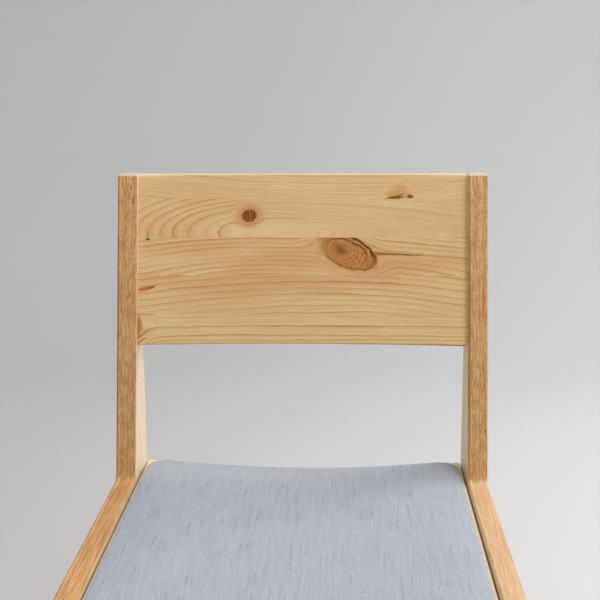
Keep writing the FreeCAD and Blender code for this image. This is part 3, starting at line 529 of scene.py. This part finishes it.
def plywood_panel(name, side_name, rail_sheen, marks_and_shade):
    """A side panel's plywood, with marks and gaps in its front edge, painted shade down its left side,
    and painted sheen on its rail.

    Each entry is its share of the way across the edge, its height, half height and colour.
    """
    shader = Shader(name, roughness=0.45, specular=0.35)
    low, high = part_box(side_name)
    across, along, up = shader.split(shader.place)
    through = count_plies(across - low.x, high.x - low.x, PANEL_PLIES, margin=0.01)
    on_rail = (shader.step(up, RAIL_TOP + RAIL_BLEND, RAIL_TOP - RAIL_BLEND)
               * shader.step(up, RAIL_FOOT - RAIL_BLEND, RAIL_FOOT + RAIL_BLEND))
    colour, relief = ply_layers(shader, through, up, along, PANEL_PLIES, PANEL_CORE, PANEL_FACE,
                                on_rail)
    # Painted sheen: the rail is made paler, standing in for light from the right; rail_sheen sets how
    # much.
    colour = shader.mix(on_rail * rail_sheen, colour, RAIL_SHEEN_TONE)
    # Each entry is either a real mark in the plies or painted shade down the post's left side; both are
    # drawn alike.
    for share, height, half_height, shade in marks_and_shade:
        sideways = (across - (low.x + share * (high.x - low.x))) / BAND_HALF_WIDTH
        upward = (up - height) / half_height
        ragged = shader.noise(shader.vector(across * 900, along * 300, up * 300), detail=1) - 0.5
        distance = shader.math("SQRT", sideways * sideways + upward * upward) + ragged
        inside = shader.step(distance, 1.1, 0.6)
        colour = shader.mix(inside * 0.85, colour, shade)
        relief = relief - inside
    # Painted sheen on the level tops of the posts.
    colour = painted_top_sheen(shader, up, colour)
    return shader.finish(colour, relief, depth=0.00015, strength=0.7)


def cross_rail_plywood(name):
    """Plywood whose veneers are stacked from front to back."""
    shader = Shader(name + "_plywood", roughness=0.45, specular=0.2)
    low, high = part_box(name)
    across, along, up = shader.split(shader.place)
    through = count_plies(along - low.y, high.y - low.y, PANEL_PLIES, margin=0.01)
    colour, relief = ply_layers(shader, through, across, up, PANEL_PLIES, PANEL_CORE, PANEL_FACE)
    return shader.finish(colour, relief, depth=0.00015, strength=0.7)


SEAT_BOARD_THICKNESS = 10 * MM
PAD_BASE_THICKNESS = 4 * MM


def seat_hollow():
    """The radius and axis height of the seat board's hollow top, from its box."""
    low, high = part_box("seat_board")
    dip = high.z - low.z - SEAT_BOARD_THICKNESS
    radius = (high.x * high.x + dip * dip) / (2 * dip)
    return radius, low.z + SEAT_BOARD_THICKNESS + radius


def moulded_plywood(name, top_depth, thickness, plies):
    """Thin moulded plywood whose veneers follow the seat's hollow.

    Its top is top_depth below the seat board's. The underside isn't quite at one depth, so the
    face's colour reaches half a ply in.
    """
    shader = Shader(name, roughness=0.45)
    radius, axis_height = seat_hollow()
    across, along, up = shader.split(shader.place)
    drop = up - axis_height
    depth = shader.math("SQRT", across * across + drop * drop) - (radius + top_depth)
    through = count_plies(depth, thickness, plies, margin=0.02)
    colour, relief = ply_layers(shader, through, across, along, plies, SEAT_CORE, SEAT_FACE,
                                face_depth=0.5)
    return shader.finish(colour, relief, depth=0.0001, strength=0.6)


def plain_wood(name, grain_axis, pale, deep, spacing):
    """Straight-grained solid wood along one axis, for cleats and dowels."""
    shader = Shader(name, roughness=0.55)
    parts = shader.split(shader.place)
    lengthwise = parts.pop(grain_axis)
    first, second = parts
    sway = shader.noise(shader.vector(lengthwise * 8, first * 30, second * 30), detail=2)
    radius = shader.math("SQRT", first * first * 0.2 + second * second) / spacing + sway * 1.5
    dark = wood_rings(shader, radius, 0.8)
    fibres = shader.noise(shader.vector(lengthwise * 40, first * 1500, second * 1500), detail=2)
    wood = shader.mix(dark, pale, deep)
    wood = shader.mix(shader.step(fibres, 0.45, 0.8) * 0.3, wood, deep)
    return shader.finish(wood, fibres, depth=0.0001, strength=0.5)


# ---------------------------------------------------------------- metal, plastic, foam and cloth

def zinc_plate():
    """Dull zinc plating, for screws, bolts, nuts, nails and staples."""
    shader = Shader("zinc_plate", roughness=0.34)
    shader.surface.inputs["Metallic"].default_value = 1.0
    cloud = shader.noise(shader.place, detail=4, scale=700)
    colour = shader.mix(cloud, tone(168, 172, 176), tone(206, 208, 206))
    return shader.finish(colour, cloud, depth=0.00005, strength=0.4)


def moulded_plastic():
    """Scuffed off-white plastic, for the floor glides."""
    shader = Shader("glide_plastic", roughness=0.42)
    grain = shader.noise(shader.place, detail=3, scale=1800)
    scuffs = shader.noise(shader.place, detail=4, scale=220)
    colour = shader.mix(shader.step(scuffs, 0.5, 0.75) * 0.5, tone(226, 223, 214),
                        tone(192, 186, 174))
    return shader.finish(colour, grain, depth=0.00006, strength=0.4)


def upholstery_foam():
    """Open-celled cream foam."""
    shader = Shader("upholstery_foam", roughness=0.95, specular=0.1)
    cells = shader.noise(shader.place, detail=3, scale=1500)
    colour = shader.mix(cells, tone(232, 224, 196), tone(208, 196, 158))
    return shader.finish(colour, cells, depth=0.0005, strength=0.8)


THREAD = 1.05 * MM
"""The distance from one thread to the next."""
YARN_SWAY = 9 * MM
WEAVE_OFFSET = 1000.5
"""Keeps the weave's checks above zero, where the remainder works."""


def woven_cloth():
    """Light blue-grey plain weave with slubs that run from front to back.

    Across and along each have up added, so that the threads don't smear on the pad's walls.
    """
    shader = Shader("seat_cloth", roughness=0.88, specular=0.25)
    across, along, up = shader.split(shader.place)
    weft, warp = across + up, along + up
    drift = shader.noise(shader.vector(weft * 120, warp * 14, 0.0), detail=2) - 0.5
    turn = math.pi / THREAD
    warp_thread = shader.math("ABSOLUTE", shader.math("SINE", (weft + drift * (0.6 * MM)) * turn))
    weft_thread = shader.math("ABSOLUTE", shader.math("SINE", warp * turn))
    checker = shader.math("FLOOR", weft / THREAD) + shader.math("FLOOR", warp / THREAD)
    over = shader.step(shader.math("MODULO", checker + WEAVE_OFFSET, 2.0), 0.95, 1.05)
    weave = weft_thread * 0.6 + (warp_thread - weft_thread * 0.6) * over
    wave = shader.noise(shader.vector(weft * 45, warp * 26, 1.0), detail=3) - 0.5
    yarn = weft + wave * YARN_SWAY
    slubs = shader.noise(shader.vector(yarn * 300, warp * 16, 3.0), detail=2, roughness=0.45)
    lines = shader.noise(shader.vector(yarn * 400, warp * 12, 8.0), detail=1)
    patches = shader.noise(shader.vector(yarn * 50, warp * 24, 5.0), detail=1)
    flecks = shader.noise(shader.vector(yarn * 460, warp * 210, 2.0), detail=1)
    bands = shader.noise(shader.vector(weft * 26, warp * 5, 6.0), detail=1)
    colour = shader.mix(shader.step(slubs, 0.3, 0.7) * 0.5 + bands * 0.5, tone(156, 162, 173),
                        tone(172, 179, 190))
    colour = shader.mix(shader.step(lines, 0.56, 0.63) * shader.step(patches, 0.4, 0.56) * 0.38,
                        colour, tone(126, 134, 150))
    colour = shader.mix(shader.step(flecks, 0.65, 0.71) * 0.5, colour, tone(208, 215, 224))
    # Painted shade in the hollows between the threads.
    colour = shader.mix((1 - weave) * 0.1, colour, tone(112, 120, 134))
    shader.surface.inputs["Sheen Weight"].default_value = 0.25
    shader.surface.inputs["Sheen Roughness"].default_value = 0.5
    return shader.finish(colour, weave * 0.6 + slubs * 0.5, depth=0.00018, strength=0.4)


# ---------------------------------------------------------------- seat pad

PAD_CORNER = 31 * MM
PAD_SMALLEST_CORNER = 4 * MM
PAD_TURN_UNDER = 24 * MM
PAD_EDGE_PROFILE = [(0.0, 2.7), (0.25, 3.8), (0.9, 4.9), (2.2, 6.0), (4.2, 7.0), (7.0, 7.9),
                    (11.0, 8.8), (16.0, 9.6), (22.0, 10.3), (30.0, 11.1), (40.0, 11.7),
                    (52.0, 12.2), (66.0, 12.6)]
"""Millimetres in from the pad's edge, and up from the seat board."""
PAD_UNDERSIDE = 0.65
"""Millimetres up to the turned-under cloth."""
PAD_WALL_PROFILE = [(0.1, 2.0), (0.5, 1.2), (1.6, 0.75), (4.0, PAD_UNDERSIDE),
                    (9.0, PAD_UNDERSIDE), (16.0, PAD_UNDERSIDE), (23.0, PAD_UNDERSIDE)]
"""The same as the edge's, from there down and round to the inner end of the turned-under cloth."""
PAD_CAP_UNDERSIDE = 1.5 * MM
"""How far the pad's closed bottom, inside the turned-under cloth, is above the seat board."""
PAD_CENTRE_HEIGHT = 13.2 * MM
PAD_CENTRE_INSET = 200 * MM
"""How far in from the edge the pad reaches its full height."""
PAD_SIDES = 0.15
"""How much thicker the filling is at the pad's sides than in its middle."""
PAD_STEP = 6 * MM
HELD_BELOW = 1.6 * MM
"""Cloth nearer than this to the seat board doesn't move while the rest swells."""
SWELL_PRESSURE = 0.35
SWELL_CAP = 3.5 * MM
CLOTH_FRAMES = 20


def pad_plan():
    """The pad's middle and half sizes in plan, from the CAD cover."""
    low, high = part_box("pad_cover")
    middle = Vector(((low.x + high.x) / 2, (low.y + high.y) / 2))
    return middle, (high.x - low.x) / 2, (high.y - low.y) / 2


def graded_line(half):
    """Places from one edge to the other: close together at the edges and PAD_STEP apart inside."""
    insets = [inset * MM for inset, _ in PAD_EDGE_PROFILE]
    inner = half - insets[-1]
    steps = max(2, round(2 * inner / PAD_STEP))
    inside = [-inner + 2 * inner * step / steps for step in range(1, steps)]
    return [inset - half for inset in insets] + inside + [half - inset for inset in insets[::-1]]


def round_corner(x, y, half_x, half_y, corner):
    """Pull a point of a rectangle's corner in, so that squares there become quarter circles."""
    over_x, over_y = abs(x) - (half_x - corner), abs(y) - (half_y - corner)
    if over_x <= 0 or over_y <= 0:
        return x, y
    shrink = max(over_x, over_y) / math.hypot(over_x, over_y)
    return (math.copysign(half_x - corner + over_x * shrink, x),
            math.copysign(half_y - corner + over_y * shrink, y))


def pad_height(inset):
    """The cloth's height over the seat board at a distance in from the pad's edge."""
    distances = [place * MM for place, _ in PAD_EDGE_PROFILE] + [PAD_CENTRE_INSET]
    heights = [height * MM for _, height in PAD_EDGE_PROFILE] + [PAD_CENTRE_HEIGHT]
    return float(np.interp(inset, distances, heights))


def pad_top(mesh, place, columns, rows):
    """The crowned top, as a grid of points with rounded corners."""
    half_x, half_y = columns[-1], rows[-1]
    top = {}
    for i, x in enumerate(columns):
        for j, y in enumerate(rows):
            inset = min(half_x - abs(x), half_y - abs(y))
            filling = 1 + PAD_SIDES * (x / half_x) ** 2
            top[i, j] = mesh.verts.new(place(*round_corner(x, y, half_x, half_y, PAD_CORNER),
                                             pad_height(inset) * filling))
    for i in range(len(columns) - 1):
        for j in range(len(rows) - 1):
            mesh.faces.new((top[i, j], top[i + 1, j], top[i + 1, j + 1], top[i, j + 1]))
    return top


def pad_bottom(mesh, place, columns, rows):
    """The grid that closes the bottom inside the turned-under cloth."""
    half_x, half_y = columns[-1], rows[-1]
    scale_x, scale_y = (half_x - PAD_TURN_UNDER) / half_x, (half_y - PAD_TURN_UNDER) / half_y
    bottom = {}
    for i, x in enumerate(columns):
        for j, y in enumerate(rows):
            bottom[i, j] = mesh.verts.new(place(x * scale_x, y * scale_y, PAD_CAP_UNDERSIDE))
    for i in range(len(columns) - 1):
        for j in range(len(rows) - 1):
            mesh.faces.new((bottom[i, j], bottom[i, j + 1], bottom[i + 1, j + 1],
                            bottom[i + 1, j]))
    return bottom


def join_loops(mesh, outer, inner):
    """A band of squares between two closed loops of points."""
    for k in range(len(outer)):
        after = (k + 1) % len(outer)
        mesh.faces.new((outer[after], outer[k], inner[k], inner[after]))


def pad_mesh():
    """The pad as a closed form: a crowned top, a low wall, turned-under cloth and a bottom."""
    middle, half_x, half_y = pad_plan()
    radius, axis_height = seat_hollow()

    def place(x, y, height):
        """A point at a height over the seat board's hollow."""
        board = axis_height - math.sqrt(radius * radius - x * x)
        return Vector((middle.x + x, middle.y + y, board + height))

    mesh = bmesh.new()
    columns, rows = graded_line(half_x), graded_line(half_y)
    last_column, last_row = len(columns) - 1, len(rows) - 1
    rim = ([(i, 0) for i in range(last_column + 1)]
           + [(last_column, j) for j in range(1, last_row + 1)]
           + [(i, last_row) for i in range(last_column - 1, -1, -1)]
           + [(0, j) for j in range(last_row - 1, 0, -1)])
    top = pad_top(mesh, place, columns, rows)
    loop = [top[corner] for corner in rim]
    for inset, height in PAD_WALL_PROFILE:
        inset *= MM
        scale_x, scale_y = (half_x - inset) / half_x, (half_y - inset) / half_y
        corner = max(PAD_CORNER - inset, PAD_SMALLEST_CORNER)
        inner = [mesh.verts.new(place(
            *round_corner(columns[i] * scale_x, rows[j] * scale_y, half_x - inset,
                          half_y - inset, corner), height * MM)) for i, j in rim]
        join_loops(mesh, loop, inner)
        loop = inner
    bottom = pad_bottom(mesh, place, columns, rows)
    join_loops(mesh, loop, [bottom[corner] for corner in rim])
    bmesh.ops.recalc_face_normals(mesh, faces=mesh.faces)
    data = bpy.data.meshes.new("seat_pad")
    mesh.to_mesh(data)
    mesh.free()
    return data


def swell(pad):
    """Blow the cloth up a little with its underside held, and keep the result as the mesh."""
    rest = np.array([vertex.co for vertex in pad.data.vertices])
    radius, axis_height = seat_hollow()
    board = axis_height - np.sqrt(radius ** 2 - rest[:, 0] ** 2)
    height = rest[:, 2] - board
    held = pad.vertex_groups.new(name="held")
    held.add([int(index) for index in np.flatnonzero(height < HELD_BELOW)], 1.0, "REPLACE")
    cloth = pad.modifiers.new("cloth", "CLOTH")
    settings = cloth.settings
    settings.vertex_group_mass = "held"
    settings.use_pressure = True
    settings.uniform_pressure_force = SWELL_PRESSURE
    settings.quality = 6
    settings.mass = 0.35
    settings.tension_stiffness = settings.compression_stiffness = 25
    settings.shear_stiffness = 12
    settings.bending_stiffness = 1.5
    settings.effector_weights.gravity = 0.0
    cloth.collision_settings.use_self_collision = False
    cloth.point_cache.frame_start, cloth.point_cache.frame_end = 1, CLOTH_FRAMES
    scene = bpy.context.scene
    for step in range(1, CLOTH_FRAMES + 1):
        scene.frame_set(step)
    swollen = pad.evaluated_get(bpy.context.evaluated_depsgraph_get())
    moved = np.array([vertex.co for vertex in swollen.data.vertices]) - rest
    pad.modifiers.remove(cloth)
    scene.frame_set(1)
    lengths = np.linalg.norm(moved, axis=1)
    share = np.minimum(1.0, SWELL_CAP / np.maximum(lengths, 1e-9))
    pad.data.vertices.foreach_set("co", (rest + moved * share[:, None]).ravel())
    pad.data.update()


def make_seat_pad():
    """The upholstered pad, which stands for the CAD cover and foam."""
    pad = add_object("seat_pad", pad_mesh())
    for face in pad.data.polygons:
        face.use_smooth = True
    swell(pad)
    finer = pad.modifiers.new("finer", "SUBSURF")
    finer.levels = finer.render_levels = 1
    pad.data.materials.append(woven_cloth())
    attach(pad, "root")
    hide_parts("pad_cover", "pad_foam")


# ---------------------------------------------------------------- studio

CAMERA_PLACE = Vector((0.0484, -1.1755, 0.9455))
CAMERA_PITCH, CAMERA_YAW, CAMERA_ROLL = -12.1, 2.105, -0.274
"""Degrees: up from level, turned to the left, and rolled."""
CAMERA_LENS = 69.0

FLOOR_RADIUS = 2.3
SWEEP_RADIUS = 1.3
SWEEP_STEPS = 12
WALL_TOP = 4.2
BACKDROP_SIDES = 96
# The paper's painted shade on the left and painted light on the right.
PAPER_SHADED, PAPER_LIT = tone(203, 203, 203), tone(226, 227, 229)


def make_camera():
    """The camera, in front of the chair and looking slightly down on it."""
    data = bpy.data.cameras.new("camera")
    data.lens = CAMERA_LENS
    camera = add_object("camera", data)
    turn = (Matrix.Rotation(math.radians(CAMERA_YAW), 4, "Z")
            @ Matrix.Rotation(math.radians(90 + CAMERA_PITCH), 4, "X")
            @ Matrix.Rotation(math.radians(CAMERA_ROLL), 4, "Z"))
    camera.matrix_world = Matrix.Translation(CAMERA_PLACE) @ turn
    bpy.context.scene.camera = camera


def backdrop_mesh():
    """A round floor that sweeps up into a round wall."""
    profile = [(FLOOR_RADIUS, 0.0)]
    for step in range(1, SWEEP_STEPS + 1):
        angle = math.pi / 2 * step / SWEEP_STEPS
        profile.append((FLOOR_RADIUS + SWEEP_RADIUS * math.sin(angle),
                        SWEEP_RADIUS * (1 - math.cos(angle))))
    profile.append((FLOOR_RADIUS + SWEEP_RADIUS, WALL_TOP))
    turns = [2 * math.pi * side / BACKDROP_SIDES for side in range(BACKDROP_SIDES)]
    mesh = bmesh.new()
    centre = mesh.verts.new((0, 0, 0))
    rings = [[mesh.verts.new((radius * math.cos(turn), radius * math.sin(turn), height))
              for turn in turns] for radius, height in profile]
    for side in range(BACKDROP_SIDES):
        after = (side + 1) % BACKDROP_SIDES
        mesh.faces.new((centre, rings[0][side], rings[0][after]))
        for lower, upper in zip(rings, rings[1:]):
            mesh.faces.new((lower[side], upper[side], upper[after], lower[after]))
    data = bpy.data.meshes.new("backdrop")
    mesh.to_mesh(data)
    mesh.free()
    return data


def make_backdrop():
    """Pale paper with painted light: a little lighter towards the right and higher up, as if lit from
    the right.
    """
    shader = Shader("backdrop_paper", roughness=0.9, specular=0.1)
    across, _, up = shader.split(shader.place)
    mottle = shader.noise(shader.place, detail=1, scale=0.7) - 0.5
    # Painted light: the colour goes lighter to the right and upwards.
    share = shader.step(across + mottle * 0.3 + up * 0.3, -1.2, 2.0)
    backdrop = add_object("backdrop", backdrop_mesh())
    for face in backdrop.data.polygons:
        face.use_smooth = True
    backdrop.data.materials.append(shader.finish(shader.mix(share, PAPER_SHADED, PAPER_LIT)))


def soft_light(name, place, target, size, power, colour):
    """A square soft box at a place, turned towards a target; the camera doesn't see it."""
    data = bpy.data.lights.new(name, "AREA")
    data.shape = "SQUARE"
    data.size, data.energy, data.color = size, power, colour
    light = add_object(name, data)
    light.location = place
    light.rotation_mode = "QUATERNION"
    light.rotation_quaternion = (Vector(target) - Vector(place)).to_track_quat("-Z", "Y")
    light.visible_camera = False


def light_studio():
    """Soft light from all round, with soft boxes at the rear right, above and at the front right."""
    world = bpy.data.worlds.new("studio")
    bpy.context.scene.world = world
    world.use_nodes = True
    background = world.node_tree.nodes["Background"]
    background.inputs["Color"].default_value = (1.0, 0.99, 0.98, 1.0)
    background.inputs["Strength"].default_value = 0.73
    chair = (0.0, 0.1, 0.6)
    soft_light("window", (2.1, 1.2, 2.1), chair, 1.2, 30, (1.0, 0.98, 0.95))
    soft_light("overhead", (0.9, 0.4, 3.0), (0.1, 0.1, 0.5), 1.2, 14, (1.0, 0.99, 0.97))
    soft_light("front_fill", (1.3, -1.6, 2.5), chair, 1.5, 31, (1.0, 0.99, 0.98))
    bpy.context.scene.view_settings.view_transform = "Standard"


# ---------------------------------------------------------------- put the chair together

# LEFT_ARRIS_SHADE is painted shade, not a ply's colour: it darkens each post's left side, which faces
# away from the light.
AMBER, UMBER, LEFT_ARRIS_SHADE = tone(176, 104, 34), tone(76, 34, 6), tone(138, 98, 62)
# In each list the first entry, and on the right panel the second too, is painted shade down the post's
# left arris; the others are marks in the plies.
LEFT_MARKS_AND_SHADE = [
    (0.06, 620 * MM, 200 * MM, LEFT_ARRIS_SHADE),
    (0.68, 786.5 * MM, 5 * MM, UMBER),
    (0.80, 769.5 * MM, 6 * MM, UMBER),
    (0.62, 660 * MM, 4 * MM, AMBER),
]
RIGHT_MARKS_AND_SHADE = [
    (0.065, 620 * MM, 200 * MM, LEFT_ARRIS_SHADE),
    # Painted shade, graded out from the left arris.
    (0.115, 620 * MM, 190 * MM, tone(166, 122, 78)),
    (0.81, 710 * MM, 105 * MM, tone(206, 142, 72)),
    (0.78, 655 * MM, 30 * MM, AMBER),
    (0.74, 574 * MM, 12 * MM, tone(190, 124, 60)),
    (0.86, 500 * MM, 4 * MM, UMBER),
]


def paint_frame():
    """The wooden parts that carry the seat and the sitter's back."""
    for number, name in enumerate(STAVES):
        paint(pine_stave(number), name)
    # Only the right panel's rail gets painted sheen, 0.35 of the way to its colour; the left rail gets
    # none.
    paint(plywood_panel("plywood_left", "side_panel_left", 0.0, LEFT_MARKS_AND_SHADE),
          "side_panel_left")
    paint(plywood_panel("plywood_right", "side_panel_right", 0.35, RIGHT_MARKS_AND_SHADE),
          "side_panel_right")
    for name in ("front_cross_rail", "rear_cross_rail"):
        paint(cross_rail_plywood(name), name)
    paint(plain_wood("cleat_pine", 1, tone(220, 188, 144), tone(180, 134, 84), 5 * MM),
          "seat_cleat_left", "seat_cleat_right")
    dowels = [name for name in nodes if "dowels" in name]
    paint(plain_wood("dowel_beech", 0, tone(206, 170, 128), tone(178, 136, 94), 3 * MM), *dowels)


def paint_seat():
    """The seat board, and the base, foam and cover of the pad in the CAD model."""
    paint(moulded_plywood("seat_plywood", 0.0, SEAT_BOARD_THICKNESS, 7), "seat_board")
    base_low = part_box("pad_base_board")[0].z
    radius, axis_height = seat_hollow()
    bottom_depth = axis_height - base_low - radius
    paint(moulded_plywood("base_plywood", bottom_depth - PAD_BASE_THICKNESS, PAD_BASE_THICKNESS, 3),
          "pad_base_board")
    paint(upholstery_foam(), "pad_foam")
    paint(woven_cloth(), "pad_cover")


def paint_hardware():
    """Metal fixings and plastic glides."""
    metal = [name for name in nodes if name.split("_")[-1] in ("nails", "nuts", "bolts", "staples")]
    metal += [name for name in nodes if "screws" in name]
    paint(zinc_plate(), *metal)
    paint(moulded_plastic(), *[name for name in nodes if name.startswith("floor_glide")])


make_camera()
light_studio()
make_backdrop()
paint_frame()
paint_seat()
paint_hardware()
make_seat_pad()
